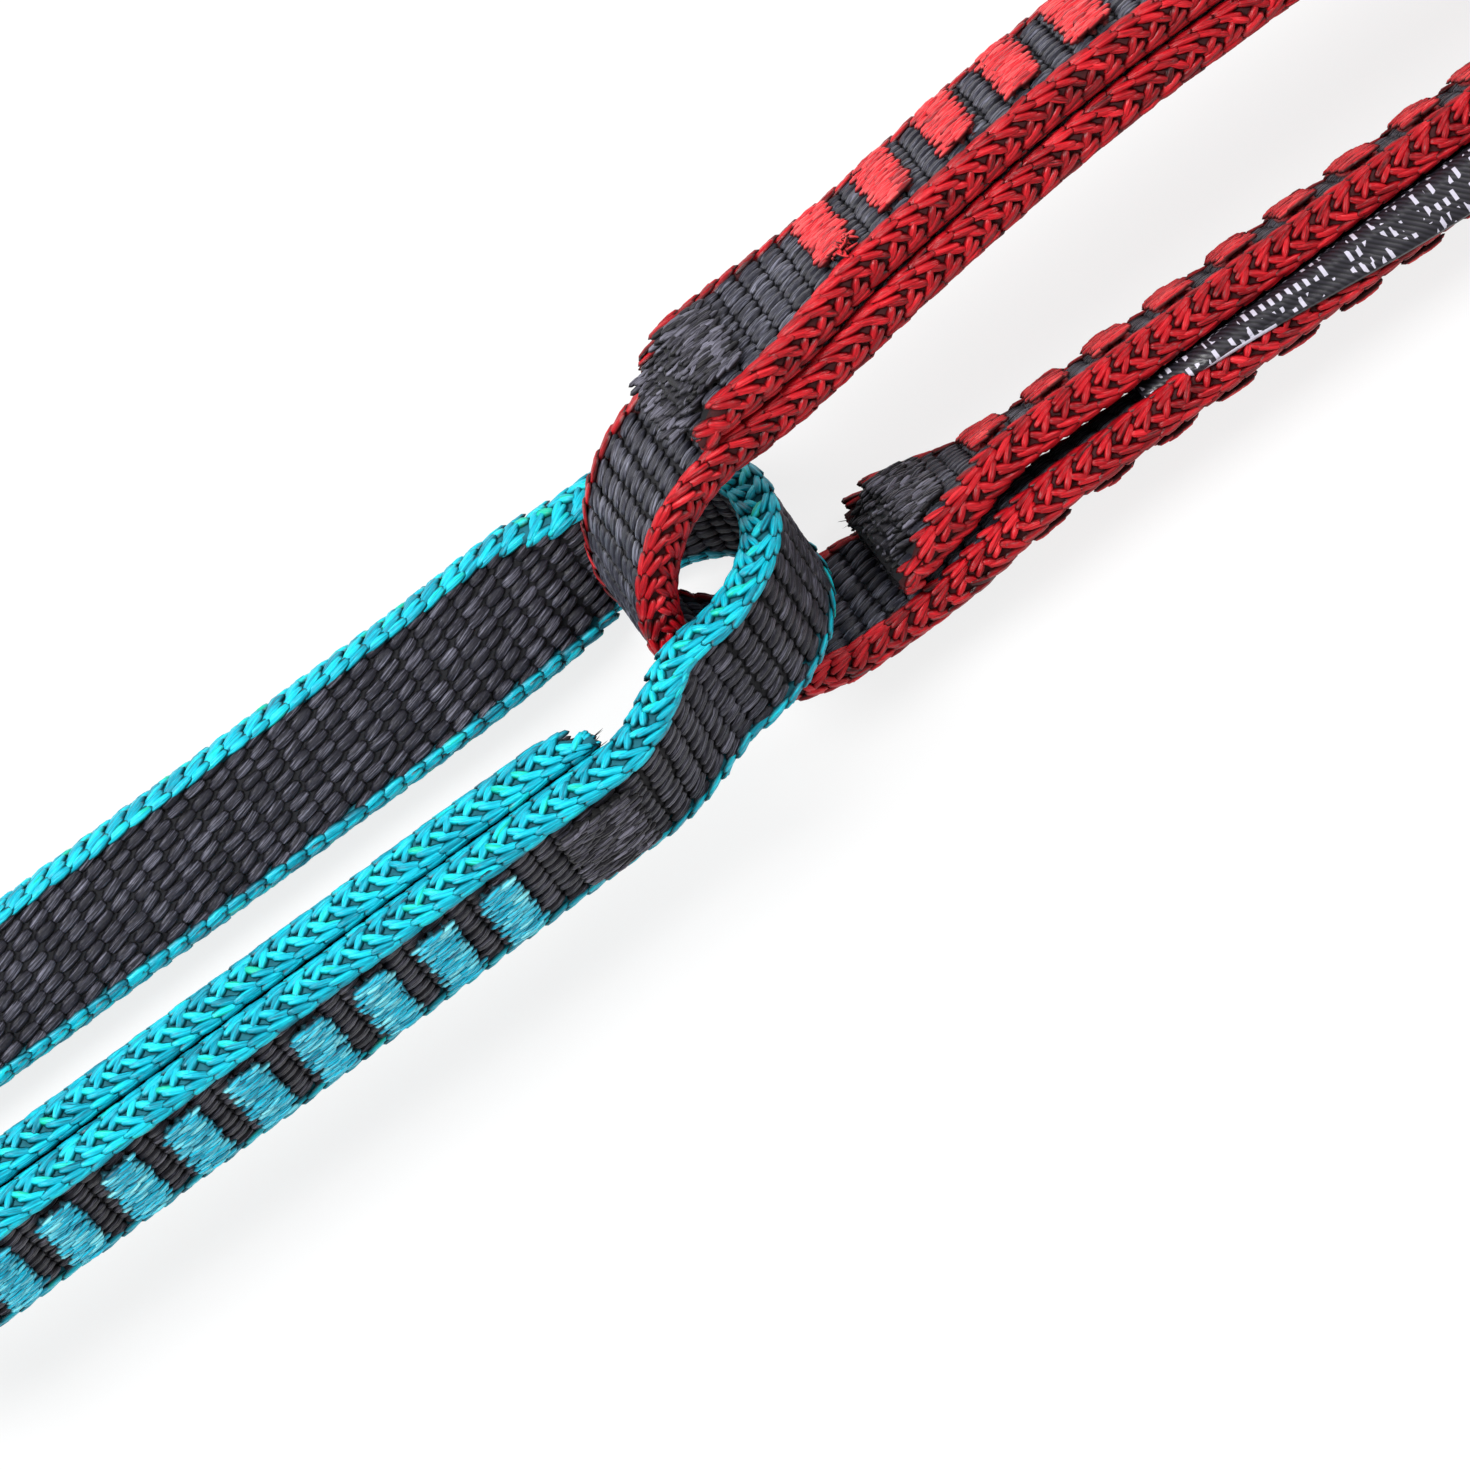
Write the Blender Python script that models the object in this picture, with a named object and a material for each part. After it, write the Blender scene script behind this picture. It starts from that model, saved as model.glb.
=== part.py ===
"""Climbing daisy chain: a tie-in ring and two chain rings of sewn webbing, each threaded through the next.

Each ring is one narrow webbing strip with fat edge cords, wound on itself and held by rows of bar tacks.
The chain lies along X on the floor, and its rings lean 45 degrees to either side in turn.
"""

import math

import bmesh
import bpy
from mathutils import Matrix, Vector

MM = 0.001
SEAT_GAP = 0.3 * MM
CUT_OVERRUN = 1.0 * MM

# Webbing: a ribbed body between two edge cords that stand a little proud of it.
WEB_WIDTH = 11.0 * MM
WEB_THICKNESS = 3.4 * MM
WEB_BODY_THICKNESS = 2.9 * MM
EDGE_CORD_WIDTH = 1.0 * MM
EDGE_CORD_SHOULDER = 0.3 * MM
EDGE_CORD_CHAMFER = 0.7 * MM

# Rings: how far the strands' middle lines lie from the ring's axis, at the link, half way and at the far end.
RING_LEAN = math.radians(45)
CHAIN_RINGS = 2
ROLL_START = 2.0 * MM
RING_APEX_DISTANCE = 8.1 * MM
RING_SIDE_SHIFT = 0.5 * MM
RING_SPAN = 96.0 * MM
RING_BIGHT_RADIUS = 9.8 * MM
RING_HIGH_HALF_WIDTH = 11.7 * MM
RING_HIGH_WIDENING = 10.0 * MM
RING_HIGH_ROLL = math.radians(-13)
RING_ROLL_LENGTH = 8.0 * MM
RING_LOW_HALF_WIDTH = 9.0 * MM
RING_LOW_WIDENING = 20.0 * MM
RING_LOW_ROLL = math.radians(-33)
TIE_IN_APEX_DISTANCE = 11.1 * MM
TIE_IN_SPAN = 97.0 * MM
TIE_IN_BIGHT_RADIUS = 12.4 * MM
TIE_IN_HIGH_HALF_WIDTH = 18.0 * MM
TIE_IN_HIGH_WIDENING = 40.0 * MM
TIE_IN_HIGH_ROLL = math.radians(-16)
TIE_IN_HIGH_ROLL_LENGTH = 14.0 * MM
TIE_IN_LOW_HALF_WIDTH = 11.3 * MM
TIE_IN_LOW_WIDENING = 16.0 * MM
TIE_IN_LOW_ROLL = math.radians(38)
TIE_IN_LOW_ROLL_LENGTH = 16.0 * MM
LABEL_SLIT = 1.0 * MM

# Bar tacks: a block of zigzag thread on both faces, joined by the rows of thread that go through the webbing.
TACK_LENGTH = 3.3 * MM
TACK_WIDTH = 8.2 * MM
TACK_RISE = 0.5 * MM
TACK_CHAMFER = 0.25 * MM
RING_TACKS = 10
TIE_IN_TACKS = 13
THREAD_ROW_THICKNESS = 0.6 * MM
END_TACK_LENGTH = 5.0 * MM
END_TACK_SETBACK = 0.9 * MM
CUT_END_TO_TACK = 12.2 * MM
BIGHT_TO_TACK = 11.7 * MM
RING_INNER_END = 10.2 * MM
TIE_IN_OUTER_END = -2.4 * MM
TIE_IN_OUTER_END_TO_TACK = 16.6 * MM
TIE_IN_INNER_END = 3.8 * MM

# Woven label: a folded tape in the slit between the two layers, hanging out over the near edge.
LABEL_START = 27.0 * MM
LABEL_LENGTH = 46.0 * MM
LABEL_THICKNESS = 0.4 * MM
LABEL_INNER_MARGIN = 0.6 * MM
LABEL_LEAST_FLAP = 0.9 * MM
LABEL_WIDEST_FLAP = 4.0 * MM

# Counts of faces along the strip and round its bights.
STRAND_STEPS = 56
BIGHT_STEPS = 13
TACK_STEPS = 4
LABEL_STEPS = 12
LABEL_BEND_STEPS = 3

COLOURS = {
    "red webbing": ((0.30, 0.02, 0.03), 0.75),
    "turquoise webbing": ((0.02, 0.38, 0.42), 0.75),
    "coral thread": ((0.85, 0.07, 0.08), 0.55),
    "turquoise thread": ((0.02, 0.50, 0.65), 0.55),
    "black thread": ((0.02, 0.02, 0.03), 0.6),
    "label tape": ((0.015, 0.013, 0.02), 0.45),
}


def smooth_step(share):
    """Rise from 0 to 1 with level ends, and the slope of that rise."""
    share = min(max(share, 0.0), 1.0)
    return share * share * (3 - 2 * share), 6 * share * (1 - share)


class Strand:
    """One long side of a ring, with the layers of webbing that lie on each other there."""

    def __init__(self, side, near, middle, far, span, widening, layer_pitch, roll, roll_length):
        self.side = side
        self.near, self.middle, self.far = near, middle, far
        self.span, self.widening = span, widening
        self.layer_pitch = layer_pitch
        self.roll, self.roll_length = roll, roll_length

    def station(self, u, layer):
        """One layer's middle at a distance u from the link's bight, with its outward and across directions."""
        rise, slope = smooth_step(u / self.widening)
        offset = self.near + (self.middle - self.near) * rise
        lean = (self.middle - self.near) * slope / self.widening
        if u > self.span / 2:
            rise, slope = smooth_step((self.span - u) / self.widening)
            offset = self.far + (self.middle - self.far) * rise
            lean = -(self.middle - self.far) * slope / self.widening
        turn, _ = smooth_step((min(u, self.span - u) - ROLL_START) / self.roll_length)
        outward, across = rolled_axes(Vector((-lean, self.side, 0)).normalized(), self.roll * turn)
        return Vector((u, self.side * offset, 0)) + outward * layer * self.layer_pitch, outward, across

    def run(self, start, end, layer):
        """Stations along one layer, from start to end, at the places that all of the strand's layers share."""
        shared = [self.span * i / STRAND_STEPS for i in range(STRAND_STEPS + 1)]
        margin = self.span / STRAND_STEPS / 4
        between = [u for u in shared if min(start, end) + margin < u < max(start, end) - margin]
        places = [start] + (between if start < end else between[::-1]) + [end]
        return [self.station(u, layer) for u in places]


def bight(first, last, turn):
    """A half circle of stations between the ends of two strands, without those ends."""
    start, end = first[0], last[0]
    centre = (start + end) / 2
    radius = (start - end).length / 2
    start_angle = math.atan2(start.y - centre.y, start.x - centre.x)
    made = []
    for i in range(1, BIGHT_STEPS):
        angle = start_angle + turn * math.pi * i / BIGHT_STEPS
        normal = Vector((math.cos(angle), math.sin(angle), 0))
        made.append((centre + normal * radius, normal, Vector((0, 0, 1))))
    return made


def web_profile():
    """The webbing's section as (outward, across) pairs: a flat body and two chamfered edge cords."""
    body, cord = WEB_BODY_THICKNESS / 2, WEB_THICKNESS / 2
    edge = WEB_WIDTH / 2
    quarter = [
        (body, edge - EDGE_CORD_WIDTH),
        (cord, edge - EDGE_CORD_WIDTH + EDGE_CORD_SHOULDER),
        (cord - EDGE_CORD_CHAMFER, edge),
    ]
    upper = quarter + [(-out, across) for out, across in reversed(quarter)]
    return upper + [(-out, -across) for out, across in upper]


def rolled_axes(normal, roll):
    """The section's outward and across directions in the ring's frame, turned about the strip by its roll."""
    across = Vector((0, 0, 1))
    return (
        normal * math.cos(roll) + across * math.sin(roll),
        across * math.cos(roll) - normal * math.sin(roll),
    )


def sweep(stations, profile):
    """A closed solid of one profile carried along the stations."""
    bm = bmesh.new()
    rings = []
    for middle, outward, across in stations:
        rings.append([bm.verts.new(middle + outward * a + across * b) for a, b in profile])
    for ring, following in zip(rings, rings[1:]):
        for i, vert in enumerate(ring):
            after = (i + 1) % len(ring)
            bm.faces.new((vert, ring[after], following[after], following[i]))
    bm.faces.new(rings[0][::-1])
    bm.faces.new(rings[-1])
    bmesh.ops.triangulate(bm, faces=bm.faces)
    bmesh.ops.recalc_face_normals(bm, faces=bm.faces)
    return bm


class Ring:
    """A wound ring: its strands and strip, in a frame with its origin at the middle of the link's apex."""

    def __init__(self, name, webbing, thread, high, low, strip, tacks):
        self.name, self.webbing, self.thread = name, webbing, thread
        self.high, self.low = high, low
        self.stations = strip
        self.tacks = tacks
        self.cutter = bmesh.new()
        nearest = sorted((middle for middle, _, _ in strip), key=lambda middle: middle.x)[:2]
        self.apex = (nearest[0] + nearest[1]) / 2

    def local(self, point):
        """A point of the ring's frame, measured from the link's apex."""
        return point - self.apex


def tack_row(prefix, count, strand, first, last):
    """Bar tacks spread evenly along a strand, from the first place to the last."""
    pitch = (last - first) / (count - 1)
    return [(f"{prefix}bar_tack_{i + 1:02d}", strand, first + pitch * i, TACK_LENGTH) for i in range(count)]


def turquoise_ring(number, high_side):
    """A chain ring: one turn and an overlap, so its high strand has two layers and its low strand one."""
    pitch = WEB_THICKNESS + SEAT_GAP
    high = Strand(1, RING_BIGHT_RADIUS - pitch / 2, RING_HIGH_HALF_WIDTH, RING_BIGHT_RADIUS + pitch / 2,
                  RING_SPAN, RING_HIGH_WIDENING, pitch, -high_side * RING_HIGH_ROLL, RING_ROLL_LENGTH)
    low = Strand(-1, RING_BIGHT_RADIUS, RING_LOW_HALF_WIDTH, RING_BIGHT_RADIUS,
                 RING_SPAN, RING_LOW_WIDENING, pitch, -high_side * RING_LOW_ROLL, RING_ROLL_LENGTH)
    outer_end = RING_SPAN - RING_INNER_END
    first = high.run(RING_INNER_END, RING_SPAN, -0.5)
    second = low.run(RING_SPAN, 0, 0)
    third = high.run(0, outer_end, 0.5)
    strip = first + bight(first[-1], second[0], -1) + second + bight(second[-1], third[0], -1) + third
    tacks = tack_row("", RING_TACKS, high, RING_INNER_END + CUT_END_TO_TACK, outer_end - CUT_END_TO_TACK)
    end_tack = END_TACK_SETBACK + END_TACK_LENGTH / 2
    tacks.append(("inner_end_tack", high, RING_INNER_END + end_tack, END_TACK_LENGTH))
    tacks.append(("outer_end_tack", high, outer_end - end_tack, END_TACK_LENGTH))
    return Ring(f"ring_{number}", "turquoise webbing", "turquoise thread", high, low, strip, tacks)


def tie_in_ring():
    """The tie-in ring: nearly two turns, so both strands and the far bight have two layers."""
    pitch = WEB_THICKNESS + SEAT_GAP
    low_pitch = WEB_THICKNESS + LABEL_SLIT
    high = Strand(1, TIE_IN_BIGHT_RADIUS + pitch / 2, TIE_IN_HIGH_HALF_WIDTH, TIE_IN_BIGHT_RADIUS + pitch / 2,
                  TIE_IN_SPAN, TIE_IN_HIGH_WIDENING, pitch, TIE_IN_HIGH_ROLL,
                  TIE_IN_HIGH_ROLL_LENGTH)
    low = Strand(-1, TIE_IN_BIGHT_RADIUS - low_pitch / 2, TIE_IN_LOW_HALF_WIDTH,
                 TIE_IN_BIGHT_RADIUS - low_pitch / 2, TIE_IN_SPAN, TIE_IN_LOW_WIDENING, low_pitch,
                 TIE_IN_LOW_ROLL, TIE_IN_LOW_ROLL_LENGTH)
    runs = [
        high.run(TIE_IN_OUTER_END, TIE_IN_SPAN, 0.5),
        low.run(TIE_IN_SPAN, 0, 0.5),
        high.run(0, TIE_IN_SPAN, -0.5),
        low.run(TIE_IN_SPAN, TIE_IN_INNER_END, -0.5),
    ]
    strip = list(runs[0])
    for run, following in zip(runs, runs[1:]):
        strip += bight(run[-1], following[0], -1) + following
    last_tack = TIE_IN_SPAN - BIGHT_TO_TACK
    tacks = tack_row("high_", TIE_IN_TACKS, high, TIE_IN_OUTER_END + TIE_IN_OUTER_END_TO_TACK, last_tack)
    tacks += tack_row("low_", TIE_IN_TACKS, low, TIE_IN_INNER_END + CUT_END_TO_TACK, last_tack)
    end_tack = END_TACK_SETBACK + END_TACK_LENGTH / 2
    tacks.append(("outer_end_tack", high, TIE_IN_OUTER_END + end_tack, END_TACK_LENGTH))
    tacks.append(("inner_end_tack", low, TIE_IN_INNER_END + end_tack, END_TACK_LENGTH))
    return Ring("tie_in", "red webbing", "coral thread", high, low, strip, tacks)


def material(name):
    """A plain finish of the named colour."""
    found = bpy.data.materials.get(name)
    if found:
        return found
    made = bpy.data.materials.new(name)
    made.use_nodes = True
    colour, roughness = COLOURS[name]
    shader = made.node_tree.nodes["Principled BSDF"]
    shader.inputs["Base Color"].default_value = (*colour, 1)
    shader.inputs["Roughness"].default_value = roughness
    shader.inputs["Metallic"].default_value = 0
    return made


def add_object(name, bm, finish, ring, parent):
    """Turn a bmesh in the ring's frame into a named object that rides on the ring's empty."""
    bmesh.ops.translate(bm, verts=bm.verts, vec=-ring.apex)
    mesh = bpy.data.meshes.new(name)
    bm.to_mesh(mesh)
    bm.free()
    made = bpy.data.objects.new(name, mesh)
    made.parent = parent
    if finish:
        mesh.materials.append(material(finish))
    bpy.context.collection.objects.link(made)
    return made


def section_matrix(strand, u):
    """The frame of a strand's whole stack: X along the strip, Y outward, Z across."""
    middle, outward, across = strand.station(u, 0)
    axes = Matrix((outward.cross(across), outward, across)).transposed().to_4x4()
    return Matrix.Translation(middle) @ axes


def box(bm, size, matrix):
    """A plain block of the given size."""
    bmesh.ops.create_cube(bm, size=1, matrix=matrix @ Matrix.Diagonal((*size, 1)))


def tack_solid(ring, strand, u, length):
    """A bar tack: a band of thread round the middle of both layers, through two slots, twisted as they are."""
    stack = strand.layer_pitch + WEB_BODY_THICKNESS + 2 * SEAT_GAP
    half_length, half_height = length / 2, stack / 2 + TACK_RISE
    hole = half_length - THREAD_ROW_THICKNESS
    side = half_height - TACK_CHAMFER
    ways = [1 - 2 * i / TACK_STEPS for i in range(TACK_STEPS + 1)]
    outer = [(half_length, side)] + [((half_length - TACK_CHAMFER) * way, half_height) for way in ways]
    outer += [(-half_length, side)]
    # Each inner corner answers the two outer corners next to it, so the band closes without a sliver.
    inner = [(hole, stack / 2)] + [(hole * way, stack / 2) for way in ways] + [(-hole, stack / 2)]
    outer += [(-x, -y) for x, y in outer]
    inner += [(-x, -y) for x, y in inner]
    bm = bmesh.new()
    sides = []
    for across in (-TACK_WIDTH / 2, TACK_WIDTH / 2):
        sides.append([[
            bm.verts.new(section_matrix(strand, u + x) @ Vector((0, y, across))) for x, y in loop
        ] for loop in (outer, inner)])
    count = len(outer)
    for i in range(count):
        after = (i + 1) % count
        (low_out, low_in), (high_out, high_in) = sides
        bm.faces.new((low_out[i], low_out[after], high_out[after], high_out[i]))
        bm.faces.new((high_in[i], high_in[after], low_in[after], low_in[i]))
        bm.faces.new((low_in[i], low_in[after], low_out[after], low_out[i]))
        bm.faces.new((high_out[i], high_out[after], high_in[after], high_in[i]))
    bmesh.ops.remove_doubles(bm, verts=bm.verts, dist=SEAT_GAP / 100)
    bmesh.ops.recalc_face_normals(bm, faces=bm.faces)
    slot = (THREAD_ROW_THICKNESS + 2 * SEAT_GAP, stack + WEB_THICKNESS + CUT_OVERRUN, TACK_WIDTH + 2 * SEAT_GAP)
    for side in (-1, 1):
        box(ring.cutter, slot, section_matrix(strand, u + side * (half_length - THREAD_ROW_THICKNESS / 2)))
    return bm


def label_solid(strand):
    """The label: flat in the slit between the layers, then bent down over the outer layer's near edge."""
    bm = bmesh.new()
    half = LABEL_THICKNESS / 2
    rows = []
    for i in range(LABEL_STEPS + 1):
        share = i / LABEL_STEPS
        flap = LABEL_LEAST_FLAP + (LABEL_WIDEST_FLAP - LABEL_LEAST_FLAP) * smooth_step(share * 2)[0]
        bend_start = WEB_WIDTH / 2 - EDGE_CORD_WIDTH / 2
        middle_line = [((0, LABEL_INNER_MARGIN - WEB_WIDTH / 2), (1, 0)), ((0, bend_start), (1, 0))]
        for k in range(1, LABEL_BEND_STEPS + 1):
            angle = math.pi / 2 * k / LABEL_BEND_STEPS
            radius = EDGE_CORD_WIDTH / 2 + SEAT_GAP + half
            out, across = radius * (1 - math.cos(angle)), bend_start + radius * math.sin(angle)
            middle_line.append(((out, across), (math.cos(angle), -math.sin(angle))))
        last, facing = middle_line[-1]
        middle_line.append(((last[0] + flap, last[1]), facing))
        section = [(p[0] - n[0] * half, p[1] - n[1] * half) for p, n in middle_line]
        section += [(p[0] + n[0] * half, p[1] + n[1] * half) for p, n in reversed(middle_line)]
        frame = section_matrix(strand, LABEL_START + LABEL_LENGTH * share)
        rows.append([bm.verts.new(frame @ Vector((0, out, across))) for out, across in section])
    for row, following in zip(rows, rows[1:]):
        for i, vert in enumerate(row):
            after = (i + 1) % len(row)
            bm.faces.new((vert, row[after], following[after], following[i]))
    bm.faces.new(rows[0][::-1])
    bm.faces.new(rows[-1])
    bmesh.ops.triangulate(bm, faces=bm.faces)
    bmesh.ops.recalc_face_normals(bm, faces=bm.faces)
    return bm


def cut_slots(made, cutter, solver="EXACT"):
    """Cut the thread slots out of a solid."""
    cut = made.modifiers.new("thread slots", "BOOLEAN")
    cut.operation = "DIFFERENCE"
    cut.solver = solver
    cut.object = cutter


def build_ring(ring, parent):
    """Make the ring's strip, tacks and slots."""
    strip = add_object(f"{ring.name}_webbing", sweep(ring.stations, web_profile()), ring.webbing, ring, parent)
    made = [strip]
    for name, strand, u, length in ring.tacks:
        finish = "black thread" if "end" in name else ring.thread
        made.append(add_object(f"{ring.name}_{name}", tack_solid(ring, strand, u, length), finish, ring, parent))
    cutter = add_object(f"{ring.name}_slot_cutter", ring.cutter, None, ring, parent)
    cutter.hide_render = True
    cutter.display_type = "WIRE"
    cut_slots(strip, cutter)
    if ring.name == "tie_in":
        label = add_object("tie_in_woven_label", label_solid(ring.low), "label tape", ring, parent)
        # The exact solver loses this thin bent tape whole, and both meshes are closed.
        cut_slots(label, cutter, "MANIFOLD")
        made.append(label)
    return made


def ring_axes(direction, high_side):
    """The ring's frame in the world: along the chain, towards its high strand, and across the webbing."""
    along = Vector((direction, 0, 0))
    high = Vector((0, high_side * math.cos(RING_LEAN), math.sin(RING_LEAN)))
    return Matrix((along, high, along.cross(high))).transposed().to_4x4()


def add_empty(name, matrix):
    """An empty that carries one ring."""
    made = bpy.data.objects.new(name, None)
    bpy.context.collection.objects.link(made)
    made.matrix_world = matrix
    return made


def floor_height(ring, axes):
    """How high the ring's apex lies when the ring rests on the floor."""
    lowest = 0
    for middle, outward, across in ring.stations:
        for a, b in web_profile():
            lowest = min(lowest, (axes @ (ring.local(middle) + outward * a + across * b)).z)
    return -lowest


def main():
    """Build the chain, with the link of the tie-in ring first and then each chain ring in turn."""
    for old in list(bpy.data.objects):
        bpy.data.objects.remove(old)
    rings = [(tie_in_ring(), ring_axes(1, 1), -TIE_IN_APEX_DISTANCE, 0)]
    apex_x = 0
    for number in range(1, CHAIN_RINGS + 1):
        high_side = -1 if number % 2 else 1
        rings.append((turquoise_ring(number, high_side), ring_axes(-1, high_side), apex_x, -RING_SIDE_SHIFT))
        apex_x += RING_APEX_DISTANCE - RING_SPAN - 2 * RING_BIGHT_RADIUS
    made, empties = [], []
    for ring, axes, x, y in rings:
        place = Matrix.Translation((x, y, floor_height(ring, axes))) @ axes
        empty = add_empty(f"{ring.name}_place", place)
        empties.append(empty)
        made += build_ring(ring, empty)
    bpy.context.view_layer.update()
    corners = [piece.matrix_world @ vert.co for piece in made for vert in piece.data.vertices]
    middle_x = (min(c.x for c in corners) + max(c.x for c in corners)) / 2
    middle_y = (min(c.y for c in corners) + max(c.y for c in corners)) / 2
    for empty in empties:
        empty.matrix_world = Matrix.Translation((-middle_x, -middle_y, 0)) @ empty.matrix_world
        print(empty.name, [round(value, 6) for value in empty.matrix_world.translation])


main()
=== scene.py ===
"""Climbing daisy chain: a red tie-in ring and two turquoise chain rings of webbing, laid on a white table."""

import math

import bmesh
import bpy
import numpy as np
from mathutils import Matrix, Vector


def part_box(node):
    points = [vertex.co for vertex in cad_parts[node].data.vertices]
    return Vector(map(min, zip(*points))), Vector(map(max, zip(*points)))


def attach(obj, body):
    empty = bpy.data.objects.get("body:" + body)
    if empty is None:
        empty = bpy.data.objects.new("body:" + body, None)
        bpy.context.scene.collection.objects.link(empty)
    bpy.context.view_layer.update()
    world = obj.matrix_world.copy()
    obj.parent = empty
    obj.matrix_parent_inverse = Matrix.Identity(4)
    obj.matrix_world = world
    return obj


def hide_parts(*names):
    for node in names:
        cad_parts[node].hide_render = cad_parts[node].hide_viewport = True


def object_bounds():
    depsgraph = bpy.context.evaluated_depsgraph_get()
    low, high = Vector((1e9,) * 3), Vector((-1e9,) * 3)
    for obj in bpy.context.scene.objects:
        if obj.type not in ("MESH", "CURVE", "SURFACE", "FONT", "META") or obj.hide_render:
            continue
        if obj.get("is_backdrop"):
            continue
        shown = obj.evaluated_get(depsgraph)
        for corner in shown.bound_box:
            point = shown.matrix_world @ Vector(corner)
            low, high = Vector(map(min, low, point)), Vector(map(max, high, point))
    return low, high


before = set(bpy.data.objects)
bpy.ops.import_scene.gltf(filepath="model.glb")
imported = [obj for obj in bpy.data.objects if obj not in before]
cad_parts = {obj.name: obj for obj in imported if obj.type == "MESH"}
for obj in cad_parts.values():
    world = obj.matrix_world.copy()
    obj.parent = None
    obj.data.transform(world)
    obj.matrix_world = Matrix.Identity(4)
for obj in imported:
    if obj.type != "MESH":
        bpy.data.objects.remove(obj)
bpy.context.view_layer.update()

# Camera: straight above the link between the red and the first turquoise ring, with a long lens.
# The chain runs from the lower left to the upper right, 36 degrees above the picture's lower edge.
MM = 0.001
LINK = Vector((49.73, -1.94, 15.0)) * MM
PICTURE_CENTRE = LINK + Vector((-5.9, -11.3, 0)) * MM
PICTURE_WIDTH = 108.9 * MM
CAMERA_TURN = math.radians(-36.3)
CAMERA_DISTANCE = 450 * MM
SENSOR_WIDTH = 36
camera = bpy.data.objects.new("camera", bpy.data.cameras.new("camera"))
camera.data.sensor_width = SENSOR_WIDTH
camera.data.lens = SENSOR_WIDTH * CAMERA_DISTANCE / PICTURE_WIDTH
camera.data.clip_start, camera.data.clip_end = 0.05, 10
camera.location = PICTURE_CENTRE + Vector((0, 0, CAMERA_DISTANCE))
camera.rotation_euler = (0, 0, CAMERA_TURN)
bpy.context.collection.objects.link(camera)
bpy.context.scene.camera = camera
bpy.context.scene.view_settings.view_transform = "Standard"


# Table and light: a plain white table top under two soft round lamps, with even fill light from all round.
# The table stays white to the eye and keeps the chain's faint shadow.
def linear(hex_colour):
    """An sRGB hex colour as linear red, green, blue and alpha."""
    parts = [int(hex_colour[i:i + 2], 16) / 255 for i in (1, 3, 5)]
    return [c / 12.92 if c <= 0.04045 else ((c + 0.055) / 1.055) ** 2.4 for c in parts] + [1]


def add_node(tree, kind, inputs=None, **settings):
    """Add a node with its settings; inputs maps a socket to a value or to another node's output."""
    made = tree.nodes.new(kind)
    for key, value in settings.items():
        setattr(made, key, value)
    for key, value in (inputs or {}).items():
        if isinstance(value, bpy.types.NodeSocket):
            tree.links.new(value, made.inputs[key])
        else:
            made.inputs[key].default_value = value
    return made


def new_finish(name):
    """An empty material and its shader, ready for nodes."""
    made = bpy.data.materials.new(name)
    made.use_nodes = True
    return made, made.node_tree, made.node_tree.nodes["Principled BSDF"]


# A matt laminate: even, white, without a highlight. Most of what the eye sees of it is plain white.
SEEN_AS_WHITE = 0.8
table_finish, tree, shader = new_finish("white_laminate")
shader.inputs["Base Color"].default_value = linear("#F6F6F6")
shader.inputs["Roughness"].default_value = 0.9
shader.inputs["Specular IOR Level"].default_value = 0.1
rays = add_node(tree, "ShaderNodeLightPath")
seen = add_node(tree, "ShaderNodeMath", {0: rays.outputs["Is Camera Ray"], 1: SEEN_AS_WHITE},
                operation="MULTIPLY")
white = add_node(tree, "ShaderNodeEmission", {"Color": (1, 1, 1, 1), "Strength": 1.0})
top = add_node(tree, "ShaderNodeMixShader", {0: seen.outputs[0], 1: shader.outputs[0], 2: white.outputs[0]})
tree.links.new(top.outputs[0], tree.nodes["Material Output"].inputs["Surface"])

TABLE_HALF = 2.0
bm = bmesh.new()
bmesh.ops.create_grid(bm, x_segments=1, y_segments=1, size=TABLE_HALF)
mesh = bpy.data.meshes.new("table_top")
bm.to_mesh(mesh)
bm.free()
mesh.materials.append(table_finish)
table_top = bpy.data.objects.new("table_top", mesh)
bpy.context.collection.objects.link(table_top)
table_top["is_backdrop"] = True

FILL_LIGHT = 0.42
world = bpy.data.worlds.new("studio")
bpy.context.scene.world = world
world.use_nodes = True
world.node_tree.nodes["Background"].inputs["Color"].default_value = (1, 1, 1, 1)
world.node_tree.nodes["Background"].inputs["Strength"].default_value = FILL_LIGHT
for name, place, size, watts in (
    ("window_lamp", (-0.45, 0.35, 0.75), 0.4, 9.0),
    ("far_lamp", (0.55, 0.25, 0.70), 0.3, 3.0),
):
    lamp = bpy.data.objects.new(name, bpy.data.lights.new(name, "AREA"))
    lamp.data.shape = "DISK"
    lamp.data.size = size
    lamp.data.energy = watts
    lamp.location = LINK + Vector(place)
    lamp.rotation_euler = (-Vector(place)).to_track_quat("-Z", "Y").to_euler()
    bpy.context.collection.objects.link(lamp)


# Webbing: each ring is one woven polyamide strip, 11 mm wide, wound on itself into two layers.
# Its charcoal warp floats over the weft in rows of plump oval grains, which step by half a grain
# from row to row; a flat core under them holds the rows and shows dark between the grains.
def smooth_step(share):
    """Rise from 0 to 1 with level ends, and the slope of that rise."""
    share = np.clip(share, 0, 1)
    return share * share * (3 - 2 * share), 6 * share * (1 - share)


def unit(directions):
    """Directions of length one."""
    return directions / np.linalg.norm(directions, axis=1, keepdims=True)


# The strip's cut ends are melted and pressed down, from its full thickness to this share of it.
PRESS_LENGTH, PRESSED, STRIP_HALF = 3.4, 0.3, 1.6


def pressed(distance):
    """The strip's thickness at a distance from its cut end, as a share of its full thickness."""
    return PRESSED + (1 - PRESSED) * smooth_step(distance / PRESS_LENGTH)[0]


UPWARD = np.array([0.0, 0.0, 1.0])
ROLL_START = 2.0


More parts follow.
